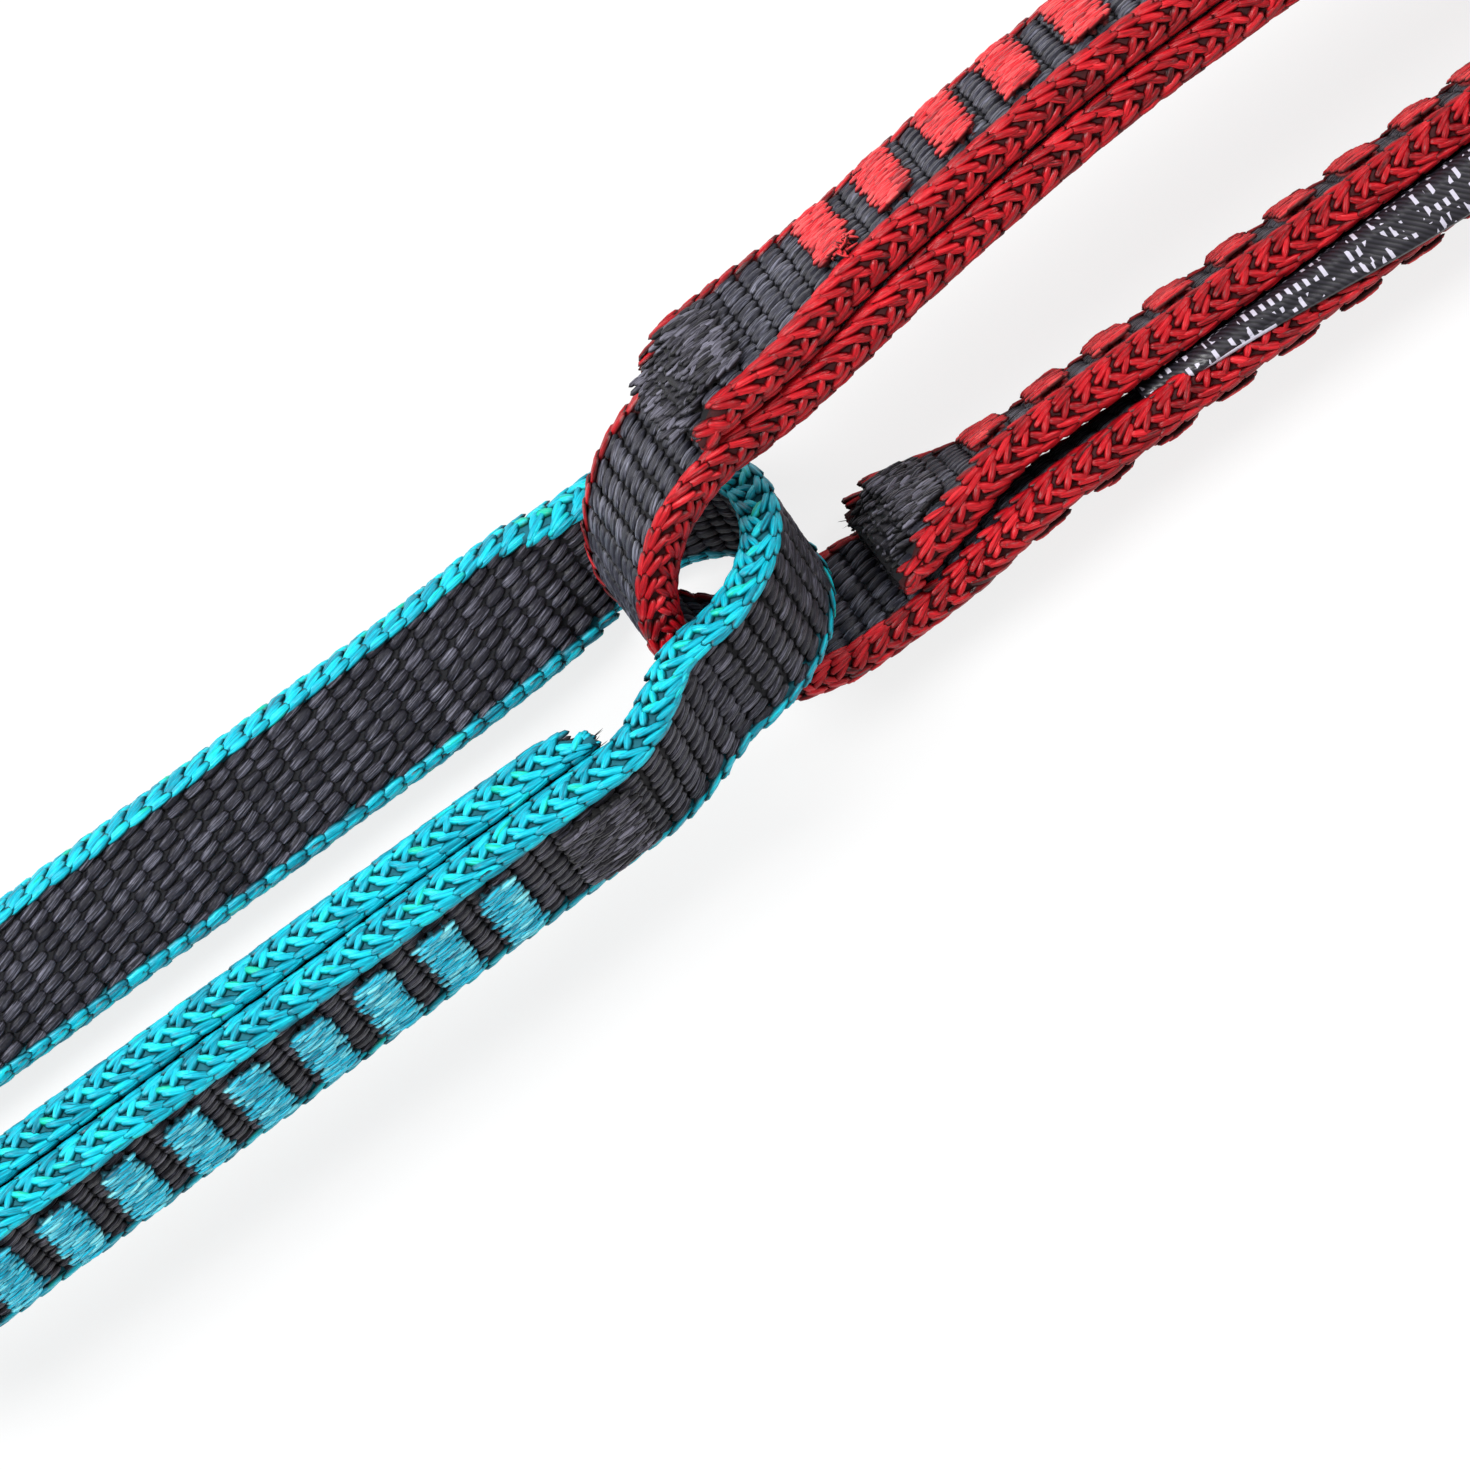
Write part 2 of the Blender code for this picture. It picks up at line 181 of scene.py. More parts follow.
class Strand:
    """One long side of a ring, with its half widths, its length and its roll, in millimetres.

    It widens from both ends to its middle, and rolls about its own length from ROLL_START on.
    """

    def __init__(self, side, near, middle, far, span, widening, pitch, roll, roll_length):
        self.side, self.near, self.middle, self.far = side, near, middle, far
        self.span, self.widening, self.pitch = span, widening, pitch
        self.roll, self.roll_length = math.radians(roll), roll_length

    def line(self, u, layer):
        """Points, outward and across directions of one layer at distances u from the link's bight."""
        u = np.atleast_1d(np.asarray(u, float))
        first = u <= self.span / 2
        from_end = np.where(first, u, self.span - u)
        end = np.where(first, self.near, self.far)
        rise, slope = smooth_step(from_end / self.widening)
        lean = np.where(first, 1, -1) * (self.middle - end) * slope / self.widening
        normal = unit(np.column_stack([-lean, np.full(len(u), float(self.side)), np.zeros(len(u))]))
        roll = (self.roll * smooth_step((from_end - ROLL_START) / self.roll_length)[0])[:, None]
        outward = normal * np.cos(roll) + UPWARD * np.sin(roll)
        point = np.column_stack([u, self.side * (end + (self.middle - end) * rise), np.zeros(len(u))])
        return point + outward * layer * self.pitch, outward, UPWARD * np.cos(roll) - normal * np.sin(roll)


BIGHT_STEPS, STEPS_PER_MM = 60, 2


def half_turn(start, end):
    """A half circle of stations between the ends of two strands."""
    centre, radius = (start + end) / 2, np.linalg.norm(start - end) / 2
    first = math.atan2(start[1] - centre[1], start[0] - centre[0])
    angle = first - math.pi * np.arange(1, BIGHT_STEPS) / BIGHT_STEPS
    outward = np.column_stack([np.cos(angle), np.sin(angle), np.zeros(len(angle))])
    return centre + outward * radius, outward, np.broadcast_to(UPWARD, outward.shape)


class Ring:
    """A wound ring in the world: its strands, and its strip's middle line with its directions.

    Its place is that of its apex at the link, in millimetres, and its direction that of its far end.
    Its plane leans 45 degrees, with the high strand on the side that high_side names.
    Each run follows a strand from one distance to another, on the outer, inner or single layer.
    """

    def __init__(self, name, body, slot, place, direction, high_side, apex, high, low, runs):
        self.name, self.body, self.slot = name, body, slot
        self.kind = "tie_in" if name == "tie_in" else "ring"
        self.place, self.apex = np.array(place, float), np.array([apex, 0.0, 0.0])
        self.strands = {"high": high, "low": low}
        half = math.sqrt(0.5)
        along, rising = np.array([direction, 0, 0.0]), np.array([0, high_side * half, half])
        self.frame = np.stack([along, rising, np.cross(along, rising)])
        parts = []
        for strand, start, end, layer in runs:
            run = strand.line(np.linspace(start, end, round(abs(end - start) * STEPS_PER_MM) + 1), layer)
            if parts:
                parts.append(half_turn(parts[-1][0][-1], run[0][0]))
            parts.append(run)
        self.strip = self.to_world(*(np.concatenate([part[k] for part in parts]) for k in range(3)))
        steps = np.linalg.norm(np.diff(self.strip[0], axis=0), axis=1)
        self.travel = np.concatenate([[0], np.cumsum(steps)])
        self.length = self.travel[-1]
        # The side of the other layer at the first and last end; each cut's place and the way on from it.
        (_, start, onward, first), (_, back, end, last) = runs[0], runs[-1]
        self.beside = (-math.copysign(1, first), -math.copysign(1, last))
        self.cuts = {("outer" if layer > 0 else "inner"): (cut, math.copysign(1, strip - cut))
                     for cut, strip, layer in ((start, onward, first), (end, back, last))}

    def to_world(self, point, outward, across):
        """Stations of the ring's frame as points and directions (along, outward, across) of the world."""
        out, side = outward @ self.frame, across @ self.frame
        return self.place + (point - self.apex) @ self.frame, np.cross(out, side), out, side

    def at(self, travel):
        """The strip's middle and directions at distances along it; out is short where the strip is thin."""
        point, _, out, across = (
            np.column_stack([np.interp(travel, self.travel, part[:, k]) for k in range(3)])
            for part in self.strip
        )
        out = unit(out)
        along = unit(np.cross(out, across))
        share = pressed(np.minimum(travel, self.length - travel))[:, None]
        toward = np.where(np.asarray(travel) < self.length / 2, *self.beside)[:, None]
        return point + out * toward * (1 - share) * STRIP_HALF, along, out * share, np.cross(along, out)

    def stack(self, strand, u):
        """The middle of both layers on a strand, and its directions."""
        return self.to_world(*self.strands[strand].line(u, 0))


# The strip's route follows the solids: half widths at the link, half way and at the far end, then rolls.
# The solids' half circles have 13 flats, and a bight's apex is the middle of a flat.
OUTER, SINGLE, INNER = 0.5, 0, -0.5
LAYER_PITCH, SLIT_PITCH = 3.7, 4.4
TIE_IN_SPAN, TIE_IN_BIGHT, TIE_IN_OUTER_END, TIE_IN_INNER_END = 97.0, 12.4, -2.4, 3.8
CHAIN_SPAN, CHAIN_BIGHT, CHAIN_INNER_END, CHAIN_OUTER_END = 96.0, 9.8, 10.2, 85.8
APEX_SHARE = -math.cos(math.pi / 26)
wide, narrow = TIE_IN_BIGHT + LAYER_PITCH / 2, TIE_IN_BIGHT - SLIT_PITCH / 2
high = Strand(side=1, near=wide, middle=18.0, far=wide, span=TIE_IN_SPAN, widening=40,
              pitch=LAYER_PITCH, roll=-16, roll_length=14)
low = Strand(side=-1, near=narrow, middle=11.3, far=narrow, span=TIE_IN_SPAN, widening=16,
             pitch=SLIT_PITCH, roll=38, roll_length=16)
tie_in = Ring(
    "tie_in", "tie_in_ring", "red_webbing", place=(44.2007, -1.9394, 14.098), direction=1, high_side=1,
    apex=TIE_IN_BIGHT * APEX_SHARE, high=high, low=low,
    runs=[(high, TIE_IN_OUTER_END, TIE_IN_SPAN, OUTER), (low, TIE_IN_SPAN, 0, OUTER),
          (high, 0, TIE_IN_SPAN, INNER), (low, TIE_IN_SPAN, TIE_IN_INNER_END, INNER)],
)
rings = [tie_in]
for number, x, high_side in ((1, 55.3007, -1), (2, -52.1993, 1)):
    high = Strand(side=1, near=CHAIN_BIGHT - LAYER_PITCH / 2, middle=11.7, far=CHAIN_BIGHT + LAYER_PITCH / 2,
                  span=CHAIN_SPAN, widening=10, pitch=LAYER_PITCH, roll=high_side * 13, roll_length=8)
    low = Strand(side=-1, near=CHAIN_BIGHT, middle=9.0, far=CHAIN_BIGHT,
                 span=CHAIN_SPAN, widening=20, pitch=LAYER_PITCH, roll=high_side * 33, roll_length=8)
    rings.append(Ring(
        f"ring_{number}", f"chain_ring_{number}", "turquoise_webbing", place=(x, -2.4394, 11.526),
        direction=-1, high_side=high_side, apex=CHAIN_BIGHT * APEX_SHARE, high=high, low=low,
        runs=[(high, CHAIN_INNER_END, CHAIN_SPAN, INNER), (low, CHAIN_SPAN, 0, SINGLE),
              (high, 0, CHAIN_OUTER_END, OUTER)],
    ))


def add_piece(name, mesh, body, finish):
    """Turn a mesh into a named piece that rides on its ring."""
    mesh.materials.append(finish)
    made = bpy.data.objects.new(name, mesh)
    bpy.context.collection.objects.link(made)
    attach(made, body)
    return made


def grid_place(vert, rows, columns):
    """The row and column at which a vertex of a fresh grid stands."""
    return round((vert.co.x + 1) / 2 * rows), round((vert.co.y + 1) / 2 * columns)


def skin(name, rows, body, finish):
    """A closed tube through rows of section points, from a grid whose seam is merged and ends filled."""
    count, around = rows.shape[:2]
    bm = bmesh.new()
    bmesh.ops.create_grid(bm, x_segments=count - 1, y_segments=around, size=1)
    for vert in bm.verts:
        i, k = grid_place(vert, count - 1, around)
        vert.co = Vector(rows[i, k % around]) * MM
    bmesh.ops.remove_doubles(bm, verts=bm.verts, dist=0.001 * MM)
    bmesh.ops.holes_fill(bm, edges=[edge for edge in bm.edges if edge.is_boundary], sides=0)
    bmesh.ops.recalc_face_normals(bm, faces=bm.faces)
    mesh = bpy.data.meshes.new(name)
    bm.to_mesh(mesh)
    bm.free()
    mesh.shade_smooth()
    return add_piece(name, mesh, body, finish)


BLUNTNESS = 0.25


def plump_shape(round_steps, long_steps, floor, groove):
    """A plump oval along X, one unit each way, grooved between its plies and cut flat below to sink in."""
    bm = bmesh.new()
    bmesh.ops.create_uvsphere(bm, u_segments=round_steps, v_segments=long_steps, radius=1,
                              matrix=Matrix.Rotation(math.pi / 2, 4, "Y"))
    # The ends are blunter than a ball's, as a yarn's are where it dives under the next.
    for vert in bm.verts:
        thin = math.hypot(vert.co.y, vert.co.z)
        if thin > 0.01:
            spoke = round(math.atan2(vert.co.z, vert.co.y) / math.tau * round_steps) % 2
            grow = thin ** -BLUNTNESS * (1 - groove * spoke)
            vert.co.y, vert.co.z = vert.co.y * grow, vert.co.z * grow
    bmesh.ops.bisect_plane(bm, geom=bm.verts[:] + bm.edges[:] + bm.faces[:], plane_co=(0, 0, floor),
                           plane_no=(0, 0, -1), clear_outer=True)
    bmesh.ops.triangulate(bm, faces=bm.faces)
    bm.verts.index_update()
    corners = np.round([vert.co for vert in bm.verts], 5) + 0.0
    faces = np.array([[vert.index for vert in face.verts] for face in bm.faces])
    bm.free()
    # The cut changes the order and the last digits from run to run, so they are sorted and rounded.
    order = np.lexsort(corners.T)
    faces = np.argsort(order)[faces]
    faces = np.take_along_axis(faces, (faces.argmin(axis=1)[:, None] + np.arange(3)) % 3, axis=1)
    return corners[order], faces[np.lexsort(faces.T)]


# Every yarn lies a little unlike its neighbours, in the same way on each run of the script,
# and shows its own part of a map of fibres, 40 mm wide.
luck = np.random.default_rng(11)
FIBRE_MAP = 40


def lay_yarns(name, shape, origin, axes, sizes, tone, body, finish):
    """Lay one small shape at many places, with its fibre map in millimetres and each copy's own tone."""
    corners, faces = shape
    count, each = len(origin), len(corners)
    scaled = corners[None] * sizes[:, None]
    points = origin[:, None] + np.einsum("nvk,nkc->nvc", scaled, axes)
    mesh = bpy.data.meshes.new(name)
    picks = (faces[None] + np.arange(count)[:, None, None] * each).reshape(-1, 3)
    mesh.from_pydata(points.reshape(-1, 3) * MM, [], picks)
    fibre = scaled[..., :2] + luck.uniform(0, FIBRE_MAP, (count, 1, 2))
    mesh.uv_layers.new(name="fibre").uv.foreach_set("vector", fibre.reshape(-1, 2)[picks.ravel()].ravel())
    # The height of each vertex in its shape is kept for the painted shade at the yarn's base.
    for attribute, values in (("tone", np.repeat(tone, each)), ("painted_shade_height", np.tile(corners[:, 2], count))):
        mesh.attributes.new(attribute, "FLOAT", "POINT").data.foreach_set("value", values.astype(np.float32))
    mesh.shade_smooth()
    return add_piece(name, mesh, body, finish)


def turned(axes, angle, lift=0):
    """Directions turned about their third axis, and then lifted at one end about their second."""
    x, y, z = axes[:, 0], axes[:, 1], axes[:, 2]
    c, s = np.cos(angle)[:, None], np.sin(angle)[:, None]
    x, y = x * c + y * s, y * c - x * s
    return np.stack([x * math.cos(lift) + z * math.sin(lift), y, z * math.cos(lift) - x * math.sin(lift)], 1)


# Streaks and each yarn's own tone pick a colour along the finish's stops: the darkest is painted shade, the
# palest a painted highlight.
STREAKS_PER_MM, STREAK_CONTRAST = 0.35, 1.3
# Painted shade: a yarn's colour is multiplied down to this share at the base of its shape, and is full from
# this height up.
SUNK_SHADE, OPEN_CROWN = 0.08, 0.75


def yarn_finish(name, shade_to_highlight_stops, fibre_pitch, fibre_depth, roughness, sheen):
    """A yarn of parallel filaments: streaks along it and a tone of its own, picked along stops from painted
    shade to painted highlight, and painted shade that darkens it towards its base.
    """
    made, tree, shader = new_finish(name)
    uv = add_node(tree, "ShaderNodeUVMap", uv_map="fibre")
    spread = add_node(tree, "ShaderNodeMapping",
                      {"Vector": uv.outputs[0], "Scale": (STREAKS_PER_MM, 1 / fibre_pitch, 1)})
    streak = add_node(tree, "ShaderNodeTexNoise",
                      {"Vector": spread.outputs[0], "Scale": 1.0, "Detail": 3.0, "Roughness": 0.7},
                      noise_dimensions="2D")
    own = add_node(tree, "ShaderNodeAttribute", attribute_name="tone")
    blend = add_node(tree, "ShaderNodeMath",
                     {0: streak.outputs[0], 1: STREAK_CONTRAST, 2: -STREAK_CONTRAST / 2},
                     operation="MULTIPLY_ADD")
    level = add_node(tree, "ShaderNodeMath", {0: own.outputs["Fac"], 1: blend.outputs[0]}, operation="ADD")
    ramp = add_node(tree, "ShaderNodeValToRGB", {0: level.outputs[0]})
    stops = ramp.color_ramp.elements
    while len(stops) < len(shade_to_highlight_stops):
        stops.new(0.5)
    for stop, (position, colour) in zip(stops, shade_to_highlight_stops):
        stop.position, stop.color = position, linear(colour)
    # Painted shade: darker towards the yarn's base, by the height of its shape.
    painted_shade_height = add_node(tree, "ShaderNodeAttribute", attribute_name="painted_shade_height")
    painted_shade = add_node(tree, "ShaderNodeMapRange",
                     {0: painted_shade_height.outputs["Fac"], 1: 0.0, 2: OPEN_CROWN, 3: SUNK_SHADE, 4: 1.0},
                     interpolation_type="SMOOTHSTEP")
    shade = add_node(tree, "ShaderNodeMix", {0: 1.0, 6: ramp.outputs[0], 7: painted_shade.outputs[0]},
                     data_type="RGBA", blend_type="MULTIPLY")
    bump = add_node(tree, "ShaderNodeBump",
                    {"Strength": 0.8, "Distance": fibre_depth * MM, "Height": streak.outputs[0]})
    tree.links.new(shade.outputs[2], shader.inputs["Base Color"])
    tree.links.new(bump.outputs[0], shader.inputs["Normal"])
    shader.inputs["Roughness"].default_value = roughness
    shader.inputs["Specular IOR Level"].default_value = 0.3
    shader.inputs["Sheen Weight"].default_value = sheen
    shader.inputs["Sheen Roughness"].default_value = 0.4
    return made


# Charcoal polyamide, woven from flat bundles of bright filaments: dark, with silvery streaks that are painted
# highlights, and a near-black lowest stop of painted shade.
charcoal_yarn = {
    "tie_in": yarn_finish("charcoal_polyamide_warp_red_ring",
                          [(0.0, "#09090F"), (0.5, "#2C2C38"), (1.0, "#A2A3B6")],
                          fibre_pitch=0.14, fibre_depth=0.12, roughness=0.40, sheen=0.05),
    "ring": yarn_finish("charcoal_polyamide_warp",
                        [(0.0, "#08070D"), (0.5, "#262530"), (1.0, "#9E9DB0")],
                        fibre_pitch=0.14, fibre_depth=0.12, roughness=0.40, sheen=0.05),
}
MOTTLE_SIZE = 0.6


def shaded_finish(name, dark, light):
    """A yarn that is only seen in the shadow under others: a matt, mottled deep shade."""
    made, tree, shader = new_finish(name)
    coords = add_node(tree, "ShaderNodeTexCoord")
    mottle = add_node(tree, "ShaderNodeTexNoise",
                      {"Vector": coords.outputs["Object"], "Scale": 1 / (MOTTLE_SIZE * MM), "Detail": 2})
    ramp = add_node(tree, "ShaderNodeValToRGB", {0: mottle.outputs[0]})
    ramp.color_ramp.elements[0].color, ramp.color_ramp.elements[1].color = linear(dark), linear(light)
    tree.links.new(ramp.outputs[0], shader.inputs["Base Color"])
    shader.inputs["Roughness"].default_value = 0.85
    return made


# The core is only seen between the grains, where the weave is in shadow.
core_finish = shaded_finish("shaded_polyamide_weft", "#07070A", "#1C1C22")
CORE_HALF_OUT, CORE_HALF_ACROSS, CORE_CORNER, SECTION_STEPS = 1.16, 4.6, 0.4, 12
GRAIN_LENGTH, GRAIN_PITCH_ALONG, GRAIN_PITCH_ACROSS, GRAIN_HEIGHT = 2.2, 1.92, 1.0, 0.40
GRAIN_SLANT, FIRST_ROW, LAST_ROW = math.radians(14), 0.9, 0.6
# Both layers lie together over this length from each cut end, with no grains on their hidden faces.
DOUBLED = 72.0
grain_shape = plump_shape(round_steps=12, long_steps=5, floor=-0.05, groove=0.16)
for ring in rings:
    travel = np.linspace(0, ring.length, round(ring.length) + 1)
    point, along, out, across = ring.at(travel)
    angle = (np.arange(SECTION_STEPS) + 0.5) * math.tau / SECTION_STEPS
    section = np.column_stack([
        np.sign(np.sin(angle)) * np.abs(np.sin(angle)) ** CORE_CORNER * CORE_HALF_OUT,
        np.sign(np.cos(angle)) * np.abs(np.cos(angle)) ** CORE_CORNER * CORE_HALF_ACROSS,
    ])
    rows = point[:, None] + out[:, None] * section[None, :, :1] + across[:, None] * section[None, :, 1:]
    core = skin(f"{ring.name}_webbing_core", rows, ring.body, core_finish)
    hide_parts(f"{ring.name}_webbing")
    rows_along = np.arange(FIRST_ROW, ring.length - LAST_ROW, GRAIN_PITCH_ALONG)
    for face, side in (("outer", 1), ("inner", -1)):
        travel, offset = [], []
        for i, s in enumerate(rows_along):
            hidden_first = side == ring.beside[0] and s < DOUBLED
            hidden_last = side == ring.beside[1] and s > ring.length - DOUBLED
            if hidden_first or hidden_last:
                continue
            grains = 9 if i % 2 else 10
            travel += [s] * grains
            offset += [(k - (grains - 1) / 2) * GRAIN_PITCH_ACROSS for k in range(grains)]
        travel, offset = np.array(travel), np.array(offset)
        count = len(travel)
        travel = travel + luck.normal(0, 0.05, count)
        point, along, out, across = ring.at(travel)
        origin = (point + across * (offset + luck.normal(0, 0.03, count))[:, None]
                  + out * side * CORE_HALF_OUT)
        axes = turned(np.stack([along, across * -side, out * side], 1),
                      GRAIN_SLANT + luck.normal(0, 0.06, count))
        sizes = np.column_stack([GRAIN_LENGTH / 2 * luck.uniform(0.93, 1.07, count),
                                 GRAIN_PITCH_ACROSS / 2 * luck.uniform(1.0, 1.2, count),
                                 GRAIN_HEIGHT * luck.uniform(0.85, 1.1, count)])
        lay_yarns(f"{ring.name}_weave_{face}", grain_shape, origin, axes, sizes,
                  luck.normal(0.47, 0.05, count), ring.body, charcoal_yarn[ring.kind])


# Edge cords: along both edges the weft turns round a bundle of coloured yarn and makes a plaited cord.
# Long slanting yarns lie on its shoulders and short ones cross on its crest, every 1.85 mm.
CORD_PITCH = 1.85
CORD_MIDDLE, CORD_HALF_ACROSS, CORD_HALF_OUT = 4.75, 0.66, 1.36
CORD_STEPS_PER_MM, CORD_LIFT = 1.3, math.radians(7)
CORD_TONE, CREST_TONE = 0.47, 0.72
# Row by row: angle round the cord, shift in pitches, slant, length, width, height, and if it is on the crest.
CORD_ROWS = (
    (-84, 0.1, 6, 2.8, 0.9, 0.32, 0), (-60, 0.0, 15, 2.7, 0.8, 0.42, 0), (-34, 0.2, 24, 2.6, 0.8, 0.46, 0),
    (-8, 0.3, 42, 1.9, 0.8, 0.46, 0), (10, 0.8, -36, 1.9, 0.85, 0.50, 1), (34, 0.45, -20, 2.6, 0.8, 0.46, 0),
    (60, 0.6, -9, 2.7, 0.8, 0.42, 0), (84, 0.35, -4, 2.8, 0.9, 0.32, 0),
)
cord_shape = plump_shape(round_steps=12, long_steps=5, floor=-0.15, groove=0.2)
# Bright dyed polyamide, in plump twisted bundles that catch the light on their crowns, with painted shade
# towards their bases; the darkest stop is painted shade and the palest red and cyan stops painted highlights.
cord_yarn = {
    "tie_in": yarn_finish("red_polyamide_cord",
                          [(0.0, "#3E0409"), (0.42, "#A60B18"), (0.75, "#D41A26"), (1.0, "#F0363E")],
                          fibre_pitch=0.2, fibre_depth=0.12, roughness=0.36, sheen=0.0),
    "ring": yarn_finish("turquoise_polyamide_cord",
                        [(0.0, "#035E74"), (0.42, "#05B0CA"), (0.72, "#18DCF0"), (0.95, "#0AC8A8")],
                        fibre_pitch=0.2, fibre_depth=0.12, roughness=0.36, sheen=0.0),
}
# Under them the same yarn lies in shadow, so the cord's heart is only a deep shade of its colour.
heart_yarn = {
    "tie_in": shaded_finish("shaded_red_cord", "#1E0205", "#4E060D"),
    "ring": shaded_finish("shaded_turquoise_cord", "#034450", "#08788A"),
}
for ring in rings:
    for edge, side in (("upper", 1), ("lower", -1)):
        travel = np.linspace(0, ring.length, round(ring.length * CORD_STEPS_PER_MM) + 1)
        point, along, out, across = ring.at(travel)
        angle = np.arange(SECTION_STEPS) * math.tau / SECTION_STEPS
        middle = point + across * side * CORD_MIDDLE
        rows = (middle[:, None] + out[:, None] * (np.sin(angle) * CORD_HALF_OUT)[None, :, None]
                + across[:, None] * (side * np.cos(angle) * CORD_HALF_ACROSS)[None, :, None])
        heart = skin(f"{ring.name}_{edge}_cord_heart", rows, ring.body, heart_yarn[ring.kind])
        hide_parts(f"{ring.name}_webbing")
        made = []
        for degrees, shift, slant, length, width, height, crest in CORD_ROWS:
            travel = np.arange(shift * CORD_PITCH + 0.5, ring.length - 0.4, CORD_PITCH)
            count = len(travel)
            travel = travel + luck.normal(0, 0.05, count)
            point, along, out, across = ring.at(travel)
            theta = math.radians(degrees)
            up = unit(across * side * math.cos(theta) / CORD_HALF_ACROSS
                      + out * math.sin(theta) / CORD_HALF_OUT)
            origin = (point + across * side * (CORD_MIDDLE + CORD_HALF_ACROSS * math.cos(theta))
                      + out * CORD_HALF_OUT * math.sin(theta))
            axes = turned(np.stack([along, np.cross(up, along), up], 1),
                          math.radians(slant) + luck.normal(0, 0.07, count), CORD_LIFT)
            # No yarn is longer than the strip left beside it, so none sticks out of a cut end.
            room = np.minimum(travel, ring.length - travel) + 0.1
            sizes = np.column_stack([np.minimum(length / 2 * luck.uniform(0.92, 1.08, count), room),
                                     width / 2 * luck.uniform(0.9, 1.08, count),
                                     height * luck.uniform(0.85, 1.1, count)])
            tone = luck.normal(CREST_TONE if crest and ring.kind == "ring" else CORD_TONE, 0.13, count)
            made.append((origin, axes, sizes, tone))
        origin, axes, sizes, tone = (np.concatenate([row[k] for row in made]) for k in range(4))
        lay_yarns(f"{ring.name}_{edge}_cord", cord_shape, origin, axes, sizes, tone, ring.body,
                  cord_yarn[ring.kind])


# Bar tacks: dense zigzag blocks of bonded polyester thread that hold the two layers together.
# The stitches run along the strip, overlap like thatch, and end in jagged rows at both ends.
# They pile up towards a tack's middle, over pads of thread that lie just under its face.
TACK_LENGTH, TACK_WIDTH, WEB_FACE = 3.3, 7.5, 1.45
STITCH_LENGTH, STITCH_WIDTH, STITCH_HEIGHT, STITCH_PITCH, COLUMN_PITCH = 1.7, 0.44, 0.28, 0.32, 1.05
JAG, JAG_STEP = 0.3, 2.4
DOME_EDGE, DOME_RISE, DOME_LOOSE, DOME_LENGTH = 0.2, 0.32, 0.16, 1.6
STITCH_LEAN = math.radians(9)
# The pads' tone is lower than the stitches' as painted shade between the stitches.
PAD_SPREAD, PAD_HALF, PAD_HEIGHT, PAD_DEPTH, PAD_SHADE_TONE = 0.6, 0.22, 0.45, 0.05, 0.3
COLUMNS_PAST_CUT = 2
stitch_shape = plump_shape(round_steps=6, long_steps=4, floor=-0.4, groove=0)
# Glossier than the webbing, because the thread is bonded: finer fibre bumps, and a palest stop that is a
# painted highlight.
tack_thread = {
    "tie_in": yarn_finish("coral_bonded_thread", [(0.0, "#7E0E18"), (0.5, "#DE2630"), (1.0, "#FC5858")],
                          fibre_pitch=0.10, fibre_depth=0.03, roughness=0.45, sheen=0.05),
    "ring": yarn_finish("turquoise_bonded_thread", [(0.0, "#026A86"), (0.5, "#0AC6E8"), (1.0, "#98F8FF")],
                        fibre_pitch=0.10, fibre_depth=0.03, roughness=0.45, sheen=0.05),
    "black": yarn_finish("black_bonded_thread", [(0.0, "#07060A"), (0.5, "#24222C"), (1.0, "#7E7C8C")],
                         fibre_pitch=0.10, fibre_depth=0.03, roughness=0.5, sheen=0.1),
}


